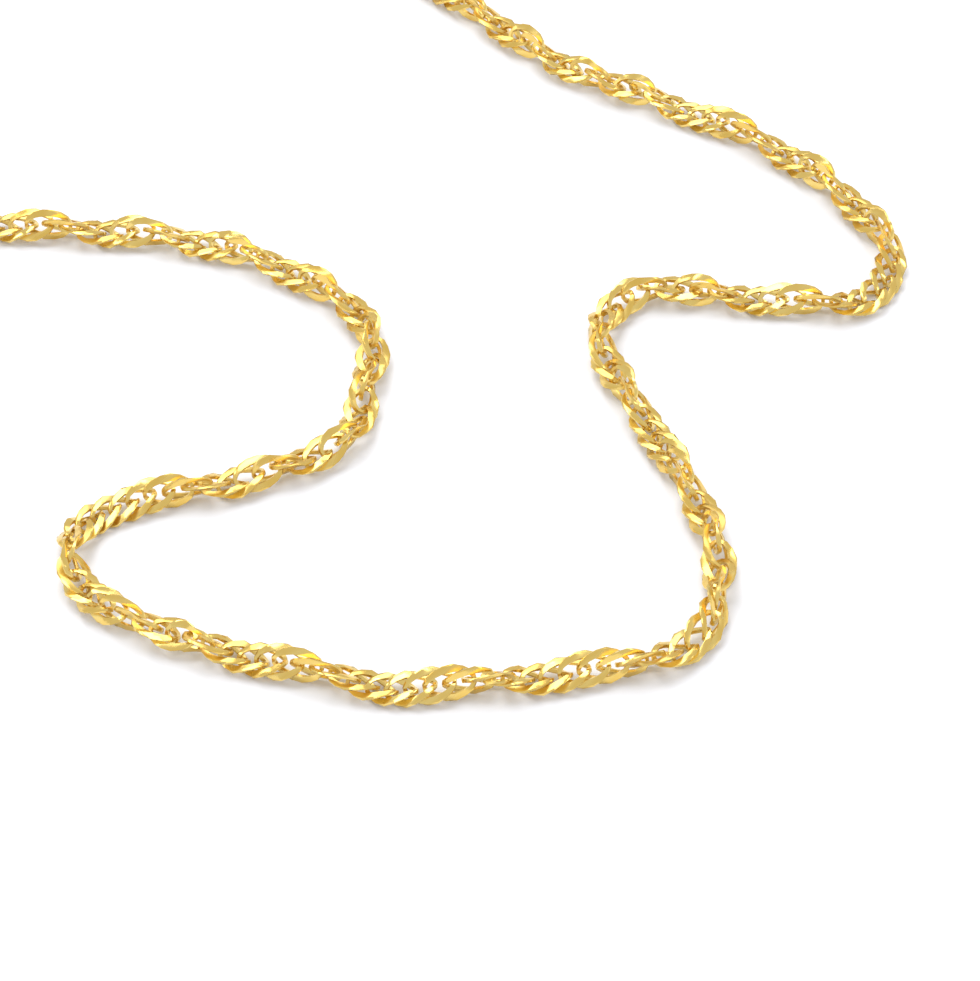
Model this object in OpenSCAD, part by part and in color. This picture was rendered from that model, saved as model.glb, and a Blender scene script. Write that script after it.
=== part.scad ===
// Singapore chain necklace lying loosely on a table, in millimetres.
// +Z points up from the table, and +X runs along the longer side of the loop.
// The woven links are drawn as a flat band with the chain's own width, thickness and twist.

/* [Necklace] */
// Length of the whole necklace, measured round the loop and through the clasp
necklace_l = 450; // [400:5:600]
// Room between pieces that pass through each other or lie side by side
piece_gap = 0.15; // [0.1:0.01:0.25]

/* [Chain] */
// Width of the chain across its flat faces
chain_w = 2; // [1.6:0.1:2.6]
// Thickness of the chain between its flat faces
chain_t = 0.8; // [0.6:0.05:1.2]
// Length of half a twist on the plain stretch behind the neck
half_twist_l = 7.4; // [6:0.2:12]

/* [End rings] */
// Outer diameter of the ring that ends each strand
end_d = 2; // [1.8:0.1:2.6]
// Wire of the ring that ends each strand
end_wire = 0.4; // [0.3:0.05:0.45]

/* [Jump rings] */
// Wire of both jump rings
jump_wire = 0.5; // [0.4:0.05:0.6]
// Free play between the clasp's eye and the left end ring
jump_play = 0.4; // [0.2:0.05:0.8]
// Free play between the clasp's hoop and the right end ring
catch_play = 0.9; // [0.7:0.05:1.4]

/* [Clasp] */
// Outer diameter of the clasp's hoop
clasp_d = 5; // [4.5:0.1:6.5]
// Wire of the clasp's hoop
clasp_wire = 0.8; // [0.6:0.05:1]
// Outer diameter of the eye on the hoop
eye_d = 2.2; // [2.1:0.1:2.8]
// Wire of the eye
eye_wire = 0.5; // [0.4:0.05:0.55]
// Depth to which the eye is soldered into the hoop
eye_sink = 0.2; // [0.1:0.05:0.3]
// Diameter of the thumb knob
knob_d = 0.7; // [0.5:0.05:0.9]
// Height of the thumb knob above the hoop
knob_l = 0.6; // [0.4:0.05:1]
// Direction of the thumb knob round the hoop, counted from the eye
knob_angle = 60; // [45:5:100]

/* [Hidden] */
gold = "#D9A84E";
// Sides of the round wires
wire_fn = 24;
// Sides of the rings, seen along their axis
ring_fn = 48;
// Points worked out between two points of the front route
route_steps = 8;
// Angle between two points of the round stretch at the back
back_step = 3;
// Longest distance between two rings of the band, and the rings in half a twist
band_step = 1.6;
band_rings = 6;
// Angle by which the band turns ahead towards lying flat, since it rests on the table
settle = 17;

// Front stretch of the loop, from the left end to the right end: x, y, and the half twists so far.
// The band lies level at whole numbers and stands on edge half way between them.
route = [
    [-30.5, 19.9, 0.49],
    [-23.5, 19.3, 1.65],
    [-17.8, 18.6, 2.7],
    [-12.9, 16.9, 3.65],
    [-8.1, 13.5, 4.7],
    [-6.4, 10.3, 5.55],
    [-6.7, 6.9, 6.5],
    [-7.5, 3.2, 7.4],
    [-10.6, 1, 8.35],
    [-14.8, -0.5, 9.3],
    [-18.4, -1.4, 9.8],
    [-20.9, -2.9, 10],
    [-21.4, -5.8, 10.6],
    [-19.8, -8.4, 11.2],
    [-17.2, -10, 11.7],
    [-13.9, -11.4, 12.75],
    [-8.2, -13.1, 13.6],
    [-4.2, -14, 14.15],
    [0.3, -13.6, 14.65],
    [4.3, -13, 15.25],
    [8, -12.3, 15.65],
    [10.7, -10.4, 16.25],
    [11.5, -7.9, 16.5],
    [11.6, -4.8, 17.3],
    [10.4, -0.6, 18.35],
    [7.8, 5.4, 19.3],
    [6.1, 9.7, 20.3],
    [6.6, 12.8, 21.05],
    [9.2, 14.3, 21.65],
    [12.5, 14, 22.65],
    [18.6, 13.3, 23.7],
    [21.2, 14.4, 24.1],
    [22.2, 17.8, 24.35],
    [19.7, 22.5, 25.3],
    [15.7, 26.6, 26.3],
    [9.9, 30.3, 27.25],
    [6.8, 31.9, 28.25],
    [3.3, 34.3, 29.3],
    [-1.8, 39.5, 30.77]
];

function unit(v) = v / norm(v);
function flat(p) = [p[0], p[1]];
function turned(a) = [cos(a), sin(a)];
function last(v) = v[len(v) - 1];
function running(v) = [for (i = 0, s = 0; i <= len(v); s = s + (i < len(v) ? v[i] : 0), i = i + 1) s];
function spans(p) = [for (i = [1:len(p) - 1]) norm(flat(p[i]) - flat(p[i - 1]))];

// Smooth curve through the points p, between point i and the next
function curve(p, i, u) =
    let (a = p[max(i - 1, 0)], b = p[i], c = p[i + 1], d = p[min(i + 2, len(p) - 1)])
    0.5 * (2 * b + (c - a) * u + (2 * a - 5 * b + 4 * c - d) * u * u + (3 * b - a - 3 * c + d) * u * u * u);

front = [
    for (i = [0:len(route) - 2])
        for (k = [0:route_steps - 1])
            curve(route, i, k / route_steps),
    last(route)
];

// The back stretch leaves both ends of the front straight and closes in one round bow.
left_end = flat(route[0]);
right_end = flat(last(route));
left_out = unit(left_end - flat(route[1]));
right_out = unit(right_end - flat(route[len(route) - 2]));
half_angle = acos(left_out * right_out) / 2;
side_gap = right_end - left_end;
left_lead = (left_out[0] * right_out[1] - left_out[1] * right_out[0]);
left_far = -(side_gap[0] * right_out[1] - side_gap[1] * right_out[0]) / left_lead;
right_far = -(side_gap[0] * left_out[1] - side_gap[1] * left_out[0]) / left_lead;
apex = left_end - left_out * left_far;
back_l = necklace_l - last(running(spans(front)));
bow_turn = 90 + half_angle;
tangent_l = (back_l + left_far + right_far) / (2 + tan(half_angle) * 2 * bow_turn * PI / 180);
bow_r = tangent_l * tan(half_angle);
bow_out = unit(left_out + right_out);
bow_mid = apex + bow_out * tangent_l / cos(half_angle);
bow_dir = atan2(bow_out[1], bow_out[0]);
bow_n = ceil(bow_turn / back_step);

// One point of the bow, turned by a from its middle; twists run on from those at the end of the front
function bow(a, twist, leg, sign) =
    let (p = bow_mid + bow_r * turned(bow_dir + a), l = leg + bow_r * (bow_turn - abs(a)) * PI / 180)
    [p[0], p[1], twist + sign * l / half_twist_l];

path = concat(
    [for (i = [0:bow_n]) bow(bow_turn * i / bow_n, route[0][2], tangent_l - left_far, -1)],
    front,
    [for (i = [0:bow_n]) bow(-bow_turn * (1 - i / bow_n), last(route)[2], tangent_l - right_far, 1)]
);
path_x = [for (p = path) p[0]];
path_y = [for (p = path) p[1]];
middle = [min(path_x) + max(path_x), min(path_y) + max(path_y)] / 2;
along = running(spans(path));
loop_l = last(along);

// Rings of the band stand closer where it twists more
twists = [for (i = [1:len(path) - 1]) abs(path[i][2] - path[i - 1][2])];
steps = [for (i = [0:len(path) - 2]) max((along[i + 1] - along[i]) / band_step, twists[i] * band_rings)];
effort = running(steps);
effort_at = [for (i = [0:len(path) - 1]) [along[i], effort[i]]];
index_at = [for (i = [0:len(path) - 1]) [effort[i], i]];

function row(e) =
    let (j = lookup(e, index_at), k = min(floor(j), len(path) - 2), u = j - k)
    path[k] * (1 - u) + path[k + 1] * u - [middle[0], middle[1], 0];

function stretch(l0, l1) =
    let (e0 = lookup(l0, effort_at), e1 = lookup(l1, effort_at), n = ceil(e1 - e0))
    [for (i = [0:n]) row(e0 + (e1 - e0) * i / n)];

// Section of the band: flat faces above and below, and narrow rounded edges
section = [
    for (q = [[0.5, 0.22], [0.34, 0.5], [-0.34, 0.5], [-0.5, 0.22]]) [q[0] * chain_w, q[1] * chain_t],
    for (q = [[-0.5, -0.22], [-0.34, -0.5], [0.34, -0.5], [0.5, -0.22]]) [q[0] * chain_w, q[1] * chain_t]
];

// Fittings stand on a line through the clasp's centre, and clear the ring that passes under the hoop
clasp_at = bow_mid + bow_r * bow_out - middle;
line_dir = bow_dir + 90;
fit_z = clasp_wire / 2 + jump_wire + 3 * piece_gap;
clasp_r = (clasp_d - clasp_wire) / 2;
eye_r = (eye_d - eye_wire) / 2;
end_r = (end_d - end_wire) / 2;
eye_x = clasp_r + clasp_wire / 2 + eye_d / 2 - eye_sink;
jump_r = (eye_d + end_d) / 4 + jump_play / 2;
left_end_x = eye_x + 2 * jump_r;
catch_x = clasp_r - clasp_wire / 2 - jump_wire / 2 - piece_gap;
right_end_x = clasp_r + clasp_wire / 2 + catch_play + end_d / 2;
catch_r = (right_end_x - catch_x) / 2;
left_start = left_end_x + end_d / 2 + piece_gap;
right_start = right_end_x + end_d / 2 + piece_gap;

// Angle of the band after t half twists
function band_angle(t) = 180 * t - settle * sin(360 * t);

// Height of the band's middle line with its lowest corner on the table
function rest_z(a) = max([for (q = section) -(q[0] * sin(a) + q[1] * cos(a))]);

// Closed strip swept along rows of x, y and half twists
module strip(rows) {
    n = len(rows);
    m = len(section);
    points = [
        for (i = [0:n - 1])
            let (
                t = unit(flat(rows[min(i + 1, n - 1)]) - flat(rows[max(i - 1, 0)])),
                side = [-t[1], t[0], 0],
                a = band_angle(rows[i][2]),
                wide = side * cos(a) + [0, 0, sin(a)],
                thick = [0, 0, cos(a)] - side * sin(a)
            )
                for (q = section)
                    [rows[i][0], rows[i][1], rest_z(a)] + wide * q[0] + thick * q[1]
    ];
    sides = [
        for (i = [0:n - 2])
            for (k = [0:m - 1])
                let (a = i * m + k, b = i * m + (k + 1) % m)
                    each [[a, b, a + m], [b, b + m, a + m]]
    ];
    caps = [[for (k = [m - 1:-1:0]) k], [for (k = [0:m - 1]) (n - 1) * m + k]];
    polyhedron(points = points, faces = concat(sides, caps));
}

module ring(r, wire) {
    rotate_extrude($fn = ring_fn)
        translate([r, 0])
            circle(d = wire, $fn = wire_fn);
}

// Places a fitting at distance x from the clasp's centre, on the left (1) or the right (-1)
module on_line(x, side) {
    translate([clasp_at[0], clasp_at[1], fit_z])
        rotate([0, 0, line_dir + (side > 0 ? 0 : 180)])
            translate([x, 0, 0])
                children();
}

// Ring on edge, leaning over until it touches the table
module leaning_ring(r, wire) {
    rotate([acos((fit_z - wire / 2) / r) - 90, 0, 0])
        ring(r, wire);
}

module chain_left() {
    color(gold) {
        strip(stretch(left_start, (loop_l - piece_gap) / 2));
        on_line(left_end_x, 1) ring(end_r, end_wire);
    }
}

module chain_right() {
    color(gold) {
        strip(stretch((loop_l + piece_gap) / 2, loop_l - right_start));
        on_line(right_end_x, -1) ring(end_r, end_wire);
    }
}

module jump_ring_left() {
    color(gold) on_line(eye_x + jump_r, 1) leaning_ring(jump_r, jump_wire);
}

module jump_ring_right() {
    color(gold) on_line(catch_x + catch_r, -1) leaning_ring(catch_r, jump_wire);
}

module clasp() {
    color(gold) {
        on_line(0, 1) {
            ring(clasp_r, clasp_wire);
            rotate([0, 0, knob_angle])
                translate([clasp_r, 0, 0])
                    rotate([0, 90, 0])
                        cylinder(d = knob_d, h = clasp_wire / 2 + knob_l, $fn = wire_fn);
        }
        on_line(eye_x, 1) ring(eye_r, eye_wire);
    }
}

chain_left();
chain_right();
jump_ring_left();
jump_ring_right();
clasp();
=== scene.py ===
# Singapore chain necklace: woven gold links twisted into a rope, lying loosely on a white table.
import math

import bpy
import numpy as np
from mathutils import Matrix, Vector


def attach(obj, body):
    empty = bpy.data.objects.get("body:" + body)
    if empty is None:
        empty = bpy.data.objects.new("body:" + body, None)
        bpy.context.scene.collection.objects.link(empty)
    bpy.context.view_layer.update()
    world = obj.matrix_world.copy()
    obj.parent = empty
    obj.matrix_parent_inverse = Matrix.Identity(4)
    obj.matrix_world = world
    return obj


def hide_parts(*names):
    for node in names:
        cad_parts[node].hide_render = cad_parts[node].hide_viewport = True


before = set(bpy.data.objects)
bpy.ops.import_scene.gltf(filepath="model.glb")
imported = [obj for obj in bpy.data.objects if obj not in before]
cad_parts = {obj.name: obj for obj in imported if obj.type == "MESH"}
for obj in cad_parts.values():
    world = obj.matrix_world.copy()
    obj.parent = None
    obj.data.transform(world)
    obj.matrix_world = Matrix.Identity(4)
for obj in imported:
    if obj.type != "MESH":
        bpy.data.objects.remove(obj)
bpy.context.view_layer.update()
print("frame loaded:", sorted(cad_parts))

mm = 0.001
halfTurn = math.pi


def addObject(name, data):
    thing = bpy.data.objects.new(name, data)
    bpy.context.scene.collection.objects.link(thing)
    return thing


# The route that the chain lies along, as in the part's own source

necklace = {
    "length": 450 * mm,  # round the loop and through the clasp
    "restWide": 1.01 * mm,  # height of the chain's middle line where it stands on edge
    "restFlat": 0.45 * mm,  # the same where it lies flat
    "strandStep": 0.25 * mm,  # between two points that carry the chain's turn
    "restReach": 3,  # of these steps to both sides over which the highest rest counts
    "halfTwist": 7.4 * mm,  # half a twist on the plain stretch at the back
    "settle": math.radians(17),  # what the twist runs ahead towards lying flat on the table
    "routeSteps": 8,  # points between two rows of the front route
    "bowStep": 3,  # degrees between two points of the bow at the back
}

# x and y in millimetres and the half twists so far, from the left end to the right end
frontRoute = [
    [-30.5, 19.9, 0.49],
    [-23.5, 19.3, 1.65],
    [-17.8, 18.6, 2.7],
    [-12.9, 16.9, 3.65],
    [-8.1, 13.5, 4.7],
    [-6.4, 10.3, 5.55],
    [-6.7, 6.9, 6.5],
    [-7.5, 3.2, 7.4],
    [-10.6, 1, 8.35],
    [-14.8, -0.5, 9.3],
    [-18.4, -1.4, 9.8],
    [-20.9, -2.9, 10],
    [-21.4, -5.8, 10.6],
    [-19.8, -8.4, 11.2],
    [-17.2, -10, 11.7],
    [-13.9, -11.4, 12.75],
    [-8.2, -13.1, 13.6],
    [-4.2, -14, 14.15],
    [0.3, -13.6, 14.65],
    [4.3, -13, 15.25],
    [8, -12.3, 15.65],
    [10.7, -10.4, 16.25],
    [11.5, -7.9, 16.5],
    [11.6, -4.8, 17.3],
    [10.4, -0.6, 18.35],
    [7.8, 5.4, 19.3],
    [6.1, 9.7, 20.3],
    [6.6, 12.8, 21.05],
    [9.2, 14.3, 21.65],
    [12.5, 14, 22.65],
    [18.6, 13.3, 23.7],
    [21.2, 14.4, 24.1],
    [22.2, 17.8, 24.35],
    [19.7, 22.5, 25.3],
    [15.7, 26.6, 26.3],
    [9.9, 30.3, 27.25],
    [6.8, 31.9, 28.25],
    [3.3, 34.3, 29.3],
    [-1.8, 39.5, 30.77],
]


def unit(v):
    return v / np.linalg.norm(v)


def smoothCurve(points, steps):
    # Runs through every point, with its direction there taken from the two neighbours
    rows = []
    last = len(points) - 1
    for i in range(last):
        a, b, c, d = (points[j] for j in (max(i - 1, 0), i, i + 1, min(i + 2, last)))
        for u in np.arange(steps) / steps:
            bend = (2 * a - 5 * b + 4 * c - d) * u**2 + (3 * b - a - 3 * c + d) * u**3
            rows.append(0.5 * (2 * b + (c - a) * u + bend))
    return np.array(rows + [points[last]])


def cross(a, b):
    return a[0] * b[1] - a[1] * b[0]


def closedLoop():
    # The front route, and a back stretch that leaves both its ends straight and closes in one round bow
    points = np.array(frontRoute, float) * (mm, mm, 1)
    front = smoothCurve(points, necklace["routeSteps"])
    frontLength = np.linalg.norm(np.diff(front[:, :2], axis=0), axis=1).sum()
    leftEnd, rightEnd = points[0, :2], points[-1, :2]
    leftOut = unit(leftEnd - points[1, :2])
    rightOut = unit(rightEnd - points[-2, :2])
    halfAngle = math.acos(leftOut @ rightOut) / 2
    # The two straight stretches aim away from one crossing point, so far behind each end of the front
    lead = cross(leftOut, rightOut)
    leftFar = -cross(rightEnd - leftEnd, rightOut) / lead
    rightFar = -cross(rightEnd - leftEnd, leftOut) / lead
    # The bow touches both of them at the same distance from that crossing, which the length settles
    bowTurn = math.pi / 2 + halfAngle
    backLength = necklace["length"] - frontLength + leftFar + rightFar
    tangent = backLength / (2 + math.tan(halfAngle) * 2 * bowTurn)
    bowRadius = tangent * math.tan(halfAngle)
    bowOut = unit(leftOut + rightOut)
    bowMiddle = leftEnd - leftOut * leftFar + bowOut * tangent / math.cos(halfAngle)
    bowTo = math.atan2(bowOut[1], bowOut[0])
    count = math.ceil(math.degrees(bowTurn) / necklace["bowStep"])

    def bow(angle, twist, leg, sign):
        x, y = bowMiddle + bowRadius * np.array([math.cos(bowTo + angle), math.sin(bowTo + angle)])
        far = leg + bowRadius * (bowTurn - abs(angle))
        return [x, y, twist + sign * far / necklace["halfTwist"]]

    turns = bowTurn * np.arange(count + 1) / count
    left = [bow(a, points[0, 2], tangent - leftFar, -1) for a in turns]
    right = [bow(-a, points[-1, 2], tangent - rightFar, 1) for a in turns[::-1]]
    path = np.concatenate([left, front, right])
    middle = (path[:, :2].min(axis=0) + path[:, :2].max(axis=0)) / 2
    path[:, :2] -= middle
    return path, middle, bowMiddle + bowRadius * bowOut - middle, bowTo


loopPath, viewCentre, claspAt, claspFacing = closedLoop()
loopAlong = np.concatenate([[0], np.cumsum(np.linalg.norm(np.diff(loopPath[:, :2], axis=0), axis=1))])
print("route ready, loop length in mm:", round(loopAlong[-1] / mm, 2))


# Camera at the photo's angle, aimed at the point of the table that the middle of the photo shows

cameraView = {
    "elevation": math.radians(47),
    "distance": 181.3 * mm,
    "lens": 127.1,  # on a 36 mm sensor
    "nearest": 10 * mm,
}


def addCamera():
    data = bpy.data.cameras.new("camera")
    data.lens = cameraView["lens"]
    data.clip_start = cameraView["nearest"]
    camera = addObject("camera", data)
    back = Vector((0, -math.cos(cameraView["elevation"]), math.sin(cameraView["elevation"])))
    aim = Vector((-viewCentre[0], -viewCentre[1], 0))
    camera.location = aim + back * cameraView["distance"]
    camera.rotation_euler = (-back).to_track_quat("-Z", "Y").to_euler()
    bpy.context.scene.camera = camera
    return aim


photoAim = addCamera()


# Node trees are written as formulas: a field is a socket that can be calculated with

class Field:
    def __init__(self, socket):
        self.socket = socket
        self.tree = socket.id_data

    def calc(self, operation, *others):
        node = self.tree.nodes.new("ShaderNodeMath")
        node.operation = operation
        for slot, value in zip(node.inputs, (self, *others)):
            connect(self.tree, value, slot)
        return Field(node.outputs[0])

    def vector(self, operation, *others):
        node = self.tree.nodes.new("ShaderNodeVectorMath")
        node.operation = operation
        slots = [node.inputs[0], node.inputs["Scale"]] if operation == "SCALE" else node.inputs
        for slot, value in zip(slots, (self, *others)):
            connect(self.tree, value, slot)
        return Field(next(s for s in node.outputs if s.enabled))

    def __add__(self, other):
        return self.calc("ADD", other)

    def __sub__(self, other):
        return self.calc("SUBTRACT", other)

    def __rsub__(self, other):
        return -self + other

    def __mul__(self, other):
        return self.calc("MULTIPLY", other)

    def __truediv__(self, other):
        return self.calc("DIVIDE", other)

    def __neg__(self):
        return self * -1

    def cos(self):
        return self.calc("COSINE")

    def sin(self):
        return self.calc("SINE")

    def signedPower(self, power):
        return self.calc("SIGN") * self.calc("ABSOLUTE").calc("POWER", power)

    def parts(self):
        return [Field(s) for s in addNode(self.tree, "ShaderNodeSeparateXYZ", {"Vector": self}).outputs]


def connect(tree, value, slot):
    if isinstance(value, Field):
        tree.links.new(value.socket, slot)
    else:
        slot.default_value = value


def addNode(tree, kind, inputs=None, **settings):
    node = tree.nodes.new(kind)
    for name, value in settings.items():
        setattr(node, name, value)
    for name, value in (inputs or {}).items():
        connect(tree, value, next(s for s in node.inputs if s.name == name and s.enabled))
    return node


def out(node):
    return Field(next(s for s in node.outputs if s.enabled))


def combine(tree, x, y, z):
    return out(addNode(tree, "ShaderNodeCombineXYZ", {"X": x, "Y": y, "Z": z}))


def readAttribute(tree, name, kind="FLOAT"):
    return out(addNode(tree, "GeometryNodeInputNamedAttribute", {"Name": name}, data_type=kind))


def storeAttribute(tree, geometry, name, value, kind="FLOAT"):
    inputs = {"Geometry": geometry, "Name": name, "Value": value}
    return out(addNode(tree, "GeometryNodeStoreNamedAttribute", inputs, data_type=kind, domain="POINT"))


# Links: flattened oval rings, each through the next two, cut flat where they lie over each other

link = {
    "Pitch": 0.96 * mm,
    "Reach": 1.27 * mm,  # middle of the link to the middle of the wire at its end
    "Half Width": 0.74 * mm,  # the same, to the wire at its side
    "Squareness": 2.0,  # 2 gives an ellipse, more gives squarer links
    "Wire Width": 0.46 * mm,
    "Narrower Ends": 0.5,  # share of the width that the wire loses towards the link's ends
    "Wire Thickness": 0.24 * mm,
    "Cut Depth": 0.32 * mm,  # middle of the chain to the flat that the cutter leaves
    "Extra Twist": math.radians(-48),  # what neighbours turn beyond the twist of the chain
    "Loose Turn": math.radians(3),  # how far a link may be off its place
    "Loose Shift": 0.012 * mm,
    "Seed": 7,
    "Sharp Angle": math.radians(40),  # edges sharper than this stay crisp
}
linkShape = {
    "roundSteps": 16,
    "wireSides": 6,
    "wireCorner": 0.45,  # lower gives the wire a broader flat
    "nearBy": 0.01,  # how far round the oval its direction is taken, in radians
    "cutLeast": 0.001 * mm,  # a flat shows where the cutter takes off more than this
    "mostTwist": math.radians(60) / link["Pitch"],  # a link itself twists no more than this
}


def linkTree():
    tree = bpy.data.node_groups.new("wovenLinks", "GeometryNodeTree")
    sockets = tree.interface
    sockets.new_socket("Geometry", in_out="INPUT", socket_type="NodeSocketGeometry")
    sockets.new_socket("Geometry", in_out="OUTPUT", socket_type="NodeSocketGeometry")
    for name, value in link.items():
        kind = "NodeSocketInt" if isinstance(value, int) else "NodeSocketFloat"
        sockets.new_socket(name, in_out="INPUT", socket_type=kind).default_value = value
    sockets.new_socket("Count", in_out="INPUT", socket_type="NodeSocketInt")
    sockets.new_socket("Material", in_out="INPUT", socket_type="NodeSocketMaterial")
    inlet = tree.nodes.new("NodeGroupInput")
    given = {s.name: Field(s) for s in inlet.outputs if s.name}

    # One point for each link
    curve = out(addNode(tree, "GeometryNodeMeshToCurve", {"Mesh": given["Geometry"]}))
    inputs = {"Curve": curve, "Count": given["Count"]}
    points = out(addNode(tree, "GeometryNodeResampleCurve", inputs, mode="COUNT"))
    place = out(tree.nodes.new("GeometryNodeInputPosition"))
    number = out(tree.nodes.new("GeometryNodeInputIndex"))

    def loose(size, step):
        limits = {"Min": -size, "Max": size, "ID": number, "Seed": given["Seed"] + step}
        return out(addNode(tree, "FunctionNodeRandomValue", limits, data_type="FLOAT"))

    shift = combine(tree, *(loose(given["Loose Shift"], step) for step in (1, 2, 3)))
    points = storeAttribute(tree, points, "centre", place.vector("ADD", shift), "FLOAT_VECTOR")
    points = storeAttribute(tree, points, "looseTurn", loose(given["Loose Turn"], 4))
    points = storeAttribute(tree, points, "looseYaw", loose(given["Loose Turn"], 5))
    points = storeAttribute(tree, points, "shade", loose(1, 6))

    # One flat link, from its place round the oval and round the wire
    ovalStep, wireStep = 2 * math.pi / linkShape["roundSteps"], 2 * math.pi / linkShape["wireSides"]
    oval = out(addNode(tree, "GeometryNodeCurvePrimitiveCircle", {"Resolution": linkShape["roundSteps"]}))
    oval = storeAttribute(tree, oval, "around", (number + 0.5) * ovalStep)
    wire = out(addNode(tree, "GeometryNodeCurvePrimitiveCircle", {"Resolution": linkShape["wireSides"]}))
    wire = storeAttribute(tree, wire, "side", number * wireStep)
    ring = out(addNode(tree, "GeometryNodeCurveToMesh", {"Curve": oval, "Profile Curve": wire}))
    ring = out(addNode(tree, "GeometryNodeFlipFaces", {"Mesh": ring}))
    around, side = readAttribute(tree, "around"), readAttribute(tree, "side")
    power = given["Squareness"].calc("POWER", -1) * 2

    def onOval(angle):
        x = angle.cos().signedPower(power) * given["Reach"]
        y = angle.sin().signedPower(power) * given["Half Width"]
        return x, y

    x, y = onOval(around)
    nextX, nextY = onOval(around + linkShape["nearBy"])
    backX, backY = onOval(around - linkShape["nearBy"])
    tangent = combine(tree, nextX - backX, nextY - backY, 0).vector("NORMALIZE")
    tangentX, tangentY, _ = tangent.parts()
    width = given["Wire Width"] * (1 - given["Narrower Ends"] * around.cos() * around.cos())
    outward = side.cos().signedPower(linkShape["wireCorner"]) * width * 0.5
    upward = side.sin() * given["Wire Thickness"] * (0.5 / math.sin(wireStep))
    flat = combine(tree, x + tangentY * outward, y - tangentX * outward, upward)
    ring = storeAttribute(tree, ring, "flat", flat, "FLOAT_VECTOR")

    # Every link turns about the chain, twists along its own length and is cut flat
    links = out(addNode(tree, "GeometryNodeInstanceOnPoints", {"Points": points, "Instance": ring}))
    links = out(addNode(tree, "GeometryNodeRealizeInstances", {"Geometry": links}))
    x, y, z = readAttribute(tree, "flat", "FLOAT_VECTOR").parts()
    turn, rate = readAttribute(tree, "turn"), readAttribute(tree, "rate")
    yaw = readAttribute(tree, "looseYaw")
    twist = x * (rate + given["Extra Twist"] / given["Pitch"]) + readAttribute(tree, "looseTurn")
    across = y * twist.cos() - z * twist.sin() + x * yaw
    over = y * twist.sin() + z * twist.cos()
    lean = x.calc("SIGN") * rate * given["Pitch"] * 0.5  # the flat is level half way to the neighbour
    flatOver = over * lean.cos() - across * lean.sin()
    cutOver = flatOver.calc("MINIMUM", given["Cut Depth"]).calc("MAXIMUM", -given["Cut Depth"])
    flatAcross = across * lean.cos() + over * lean.sin()
    angle = turn + lean
    wide = flatAcross * angle.cos() - cutOver * angle.sin()
    high = flatAcross * angle.sin() + cutOver * angle.cos()
    heading = readAttribute(tree, "heading", "FLOAT_VECTOR").vector("NORMALIZE")
    headX, headY, _ = heading.parts()
    beside = combine(tree, -headY, headX, 0).vector("NORMALIZE")
    above = heading.vector("CROSS_PRODUCT", beside)
    spot = readAttribute(tree, "centre", "FLOAT_VECTOR").vector("ADD", heading.vector("SCALE", x))
    spot = spot.vector("ADD", beside.vector("SCALE", wide)).vector("ADD", above.vector("SCALE", high))
    cut = (flatOver - cutOver).calc("ABSOLUTE").calc("GREATER_THAN", linkShape["cutLeast"])
    links = storeAttribute(tree, links, "cut", cut)
    links = out(addNode(tree, "GeometryNodeSetPosition", {"Geometry": links, "Position": spot}))
    edge = out(tree.nodes.new("GeometryNodeInputMeshEdgeAngle"))
    sharp = edge.calc("GREATER_THAN", given["Sharp Angle"])
    inputs = {"Geometry": links, "Selection": sharp, "Shade Smooth": False}
    links = out(addNode(tree, "GeometryNodeSetShadeSmooth", inputs, domain="EDGE"))
    links = out(addNode(tree, "GeometryNodeSetMaterial", {"Geometry": links, "Material": given["Material"]}))
    tree.links.new(links.socket, tree.nodes.new("NodeGroupOutput").inputs["Geometry"])
    return tree


# Gold

gold = {
    "colour": (0.87, 0.66, 0.22),
    "deep": (0.82, 0.54, 0.12),
    "polished": 0.13,  # roughness of the flats that the cutter leaves
    "satin": 0.28,  # roughness of the drawn wire
    "uneven": 0.06,
    "cloudSize": 1.4 * mm,
    "cloudShare": 0.5,  # what the clouds, the single link and its flats add to the deeper colour; the flats' share is painted light, which paints the flats deeper and the wire paler
    "linkShare": 0.2,
    # painted light: how much deeper the cut flats are painted than the wire
    "flatPaintedLightShare": 0.45,
    "scratchLength": 0.5 * mm,
    "scratchWidth": 0.04 * mm,
    "scratchDepth": 0.002 * mm,
    "scratchStrength": 0.5,
}


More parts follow.
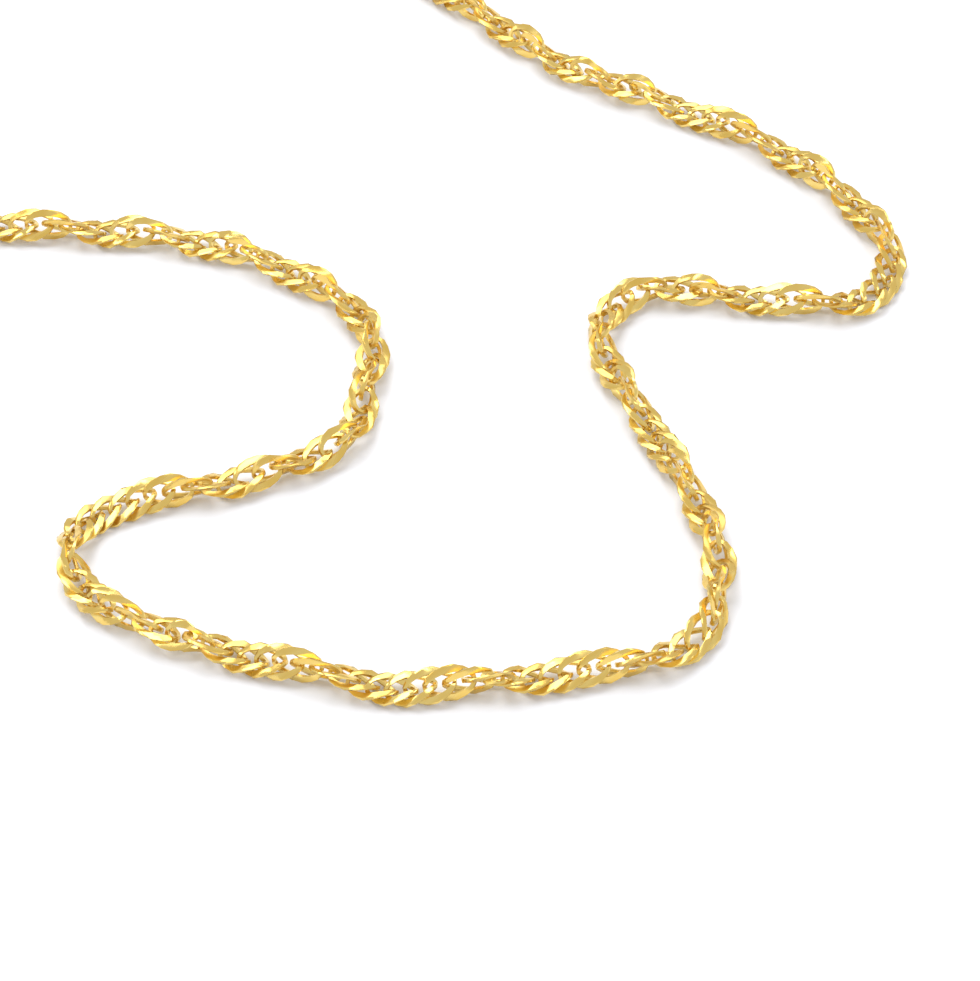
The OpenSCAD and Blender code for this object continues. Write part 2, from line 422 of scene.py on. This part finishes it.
def goldMaterial(name, woven):
    # Polished flats and satin wire, a little uneven from link to link, with fine scratches; the flats are
    # painted deeper and the wire paler, painted light that makes up for the shade the links cast on each
    # other's wire
    material = bpy.data.materials.new(name)
    material.use_nodes = True
    tree = material.node_tree
    shader = tree.nodes["Principled BSDF"]
    spot = Field(tree.nodes.new("ShaderNodeTexCoord").outputs["Object"])
    clouds = {"Vector": spot, "Scale": 1 / gold["cloudSize"], "Detail": 3}
    cloud = out(addNode(tree, "ShaderNodeTexNoise", clouds))
    stretch = (1 / gold["scratchLength"], 1 / gold["scratchWidth"], 1 / gold["scratchWidth"])
    lines = spot.vector("MULTIPLY", stretch)
    scratch = out(addNode(tree, "ShaderNodeTexNoise", {"Vector": lines, "Scale": 1, "Detail": 2}))
    roughness = (cloud - 0.5) * gold["uneven"] * 2 + gold["satin"]
    toneAndPaintedLight = cloud
    if woven:
        cut = Field(addNode(tree, "ShaderNodeAttribute", attribute_name="cut").outputs["Fac"])
        shade = Field(addNode(tree, "ShaderNodeAttribute", attribute_name="shade").outputs["Fac"])
        roughness = roughness + cut * (gold["polished"] - gold["satin"]) + shade * gold["uneven"]
        # Painted light: the cut flats take the deeper colour and the wire the paler one, which makes up for
        # the shade that the links cast on each other's wire
        toneAndPaintedLight = cloud * gold["cloudShare"] + shade * gold["linkShare"] + cut * gold["flatPaintedLightShare"]
    mix = {"Factor": toneAndPaintedLight, "A": (*gold["colour"], 1), "B": (*gold["deep"], 1)}
    colour = out(addNode(tree, "ShaderNodeMix", mix, data_type="RGBA"))
    bump = {"Height": scratch, "Strength": gold["scratchStrength"], "Distance": gold["scratchDepth"]}
    normal = out(addNode(tree, "ShaderNodeBump", bump))
    for socket, value in {"Base Color": colour, "Roughness": roughness, "Normal": normal}.items():
        connect(tree, value, shader.inputs[socket])
    shader.inputs["Metallic"].default_value = 1
    return material


goldLinks = goldMaterial("goldLinks", True)
goldFittings = goldMaterial("goldFittings", False)


# The two strands

fittings = {
    "height": 1.35 * mm,  # of the clasp and the end rings above the table
    "endRing": 2 * mm,  # outer diameter
    "endWire": 0.4 * mm,
    "leftRing": 5.9 * mm,  # middle of the clasp to the middle of the left end ring
    "rightRing": 4.4 * mm,
    "hookOn": 1.5 * mm,  # middle of an end ring to the middle of the first link
    "rise": 6 * mm,  # length over which the chain rises to its end ring
    "ringSteps": 32,
    "ringSides": 12,
}


def settled(height):
    # Links are stiff, so the chain can't dip between two places that hold it up
    window = 2 * necklace["restReach"] + 1
    near = np.lib.stride_tricks.sliding_window_view(np.pad(height, window - 1, mode="edge"), window)
    return np.convolve(near.max(axis=1), np.ones(window) / window, "valid")


def strandMesh(name, start, end):
    # A line of dense points that carry the turn of the chain, its rate and its heading
    steps = int((end - start) / necklace["strandStep"])
    along = np.linspace(start, end, steps + 1)
    x, y, halves = (np.interp(along, loopAlong, loopPath[:, i]) for i in range(3))
    turn = halfTurn * halves - necklace["settle"] * np.sin(2 * halfTurn * halves)
    rate = np.clip(np.gradient(turn, along), -linkShape["mostTwist"], linkShape["mostTwist"])
    height = np.hypot(necklace["restWide"] * np.sin(turn), necklace["restFlat"] * np.cos(turn))
    fromEnd = np.clip(np.minimum(along - firstLink, lastLink - along) / fittings["rise"], 0, 1)
    low = fromEnd**2 * (3 - 2 * fromEnd)
    height = low * settled(height) + (1 - low) * fittings["height"]
    line = np.column_stack([x, y, height])
    mesh = bpy.data.meshes.new(name)
    mesh.from_pydata(line.tolist(), [(i, i + 1) for i in range(steps)], [])
    for key, values in {"turn": turn, "rate": rate}.items():
        mesh.attributes.new(key, "FLOAT", "POINT").data.foreach_set("value", values)
    heading = np.gradient(line, along, axis=0)
    mesh.attributes.new("heading", "FLOAT_VECTOR", "POINT").data.foreach_set("vector", heading.ravel())
    return mesh


def makeStrand(name, node, tree, start, end, count, seed):
    source = addObject(name + "Line", strandMesh(name, start, end))
    modifier = source.modifiers.new("links", "NODES")
    modifier.node_group = tree
    keys = {item.name: item.identifier for item in tree.interface.items_tree if item.in_out == "INPUT"}
    modifier[keys["Count"]] = count
    modifier[keys["Seed"]] = seed
    modifier[keys["Material"]] = goldLinks
    depsgraph = bpy.context.evaluated_depsgraph_get()
    mesh = bpy.data.meshes.new_from_object(source.evaluated_get(depsgraph))
    mesh.name = name
    source.modifiers.remove(modifier)
    bpy.data.objects.remove(source)
    strand = addObject(name, mesh)
    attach(strand, "root")
    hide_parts(node)
    print(name, "has", count, "links,", len(mesh.polygons), "faces")


wovenLinks = linkTree()
firstLink = fittings["leftRing"] + fittings["hookOn"]
lastLink = loopAlong[-1] - fittings["rightRing"] - fittings["hookOn"]
linkCount = round((lastLink - firstLink) / link["Pitch"]) + 1
linkStep = (lastLink - firstLink) / (linkCount - 1)
leftCount = linkCount // 2
leftLast = firstLink + (leftCount - 1) * linkStep
rightFirst, rightCount = leftLast + linkStep, linkCount - leftCount
makeStrand("linksLeft", "chain_left", wovenLinks, firstLink, leftLast, leftCount, link["Seed"])
makeStrand("linksRight", "chain_right", wovenLinks, rightFirst, lastLink, rightCount, link["Seed"] + 1)


# The small plain ring that ends each strand lies level beside the clasp

def addEndRing(name, node, distance):
    sides, steps = fittings["ringSides"], fittings["ringSteps"]
    wireRadius = fittings["endWire"] / 2
    radius = fittings["endRing"] / 2 - wireRadius
    middle = claspAt + distance * np.array([-math.sin(claspFacing), math.cos(claspFacing)])
    spots, faces = [], []
    for i in range(steps):
        a = 2 * math.pi * i / steps
        for j in range(sides):
            b = 2 * math.pi * j / sides
            far = radius + wireRadius * math.cos(b)
            high = fittings["height"] + wireRadius * math.sin(b)
            spots.append((middle[0] + far * math.cos(a), middle[1] + far * math.sin(a), high))
            nextStep, nextSide = (i + 1) % steps * sides, (j + 1) % sides
            faces.append((i * sides + j, nextStep + j, nextStep + nextSide, i * sides + nextSide))
    mesh = bpy.data.meshes.new(name)
    mesh.from_pydata(spots, [], faces)
    mesh.shade_smooth()
    mesh.materials.append(goldFittings)
    ring = addObject(name, mesh)
    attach(ring, "root")
    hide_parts(node)


addEndRing("endRingLeft", "chain_left", fittings["leftRing"])
addEndRing("endRingRight", "chain_right", -fittings["rightRing"])
print("end rings ready")

for node in ("jump_ring_left", "jump_ring_right", "clasp"):
    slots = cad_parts[node].data.materials
    slots.clear()
    slots.append(goldFittings)


# Table, daylight and soft lamps

studio = {
    "floorSize": 1.2,
    "floorColour": (0.9, 0.92, 0.97),
    "floorRoughness": 0.6,
    "daylight": (0.79, 0.79, 0.8),
}
# Metres from the point that the camera aims at
lamps = {
    "lampTop": {"at": (-0.1, 0.12, 0.46), "size": (0.3, 0.22), "power": 0.78},
    "lampBack": {"at": (-0.06, 0.38, 0.4), "size": (0.4, 0.26), "power": 0.64},
    "lampLeft": {"at": (-0.38, 0.02, 0.3), "size": (0.12, 0.16), "power": 0.25},
    "lampRight": {"at": (0.36, 0.05, 0.34), "size": (0.1, 0.16), "power": 0.2},
}


def addFloor():
    half = studio["floorSize"] / 2
    mesh = bpy.data.meshes.new("floor")
    corners = [(-half, -half, 0), (half, -half, 0), (half, half, 0), (-half, half, 0)]
    mesh.from_pydata(corners, [], [(0, 1, 2, 3)])
    floor = addObject("floor", mesh)
    material = bpy.data.materials.new("tableTop")
    material.use_nodes = True
    shader = material.node_tree.nodes["Principled BSDF"]
    shader.inputs["Base Color"].default_value = (*studio["floorColour"], 1)
    shader.inputs["Roughness"].default_value = studio["floorRoughness"]
    mesh.materials.append(material)


def addLamps():
    for name, lamp in lamps.items():
        data = bpy.data.lights.new(name, "AREA")
        data.shape = "RECTANGLE"
        data.size, data.size_y = lamp["size"]
        data.energy = lamp["power"]
        light = addObject(name, data)
        light.location = photoAim + Vector(lamp["at"])
        light.rotation_euler = (photoAim - light.location).to_track_quat("-Z", "Y").to_euler()
    world = bpy.data.worlds.new("daylight")
    bpy.context.scene.world = world
    world.use_nodes = True
    world.node_tree.nodes["Background"].inputs["Color"].default_value = (*studio["daylight"], 1)


addFloor()
addLamps()
bpy.context.scene.view_settings.view_transform = "Standard"
print("stage ready")
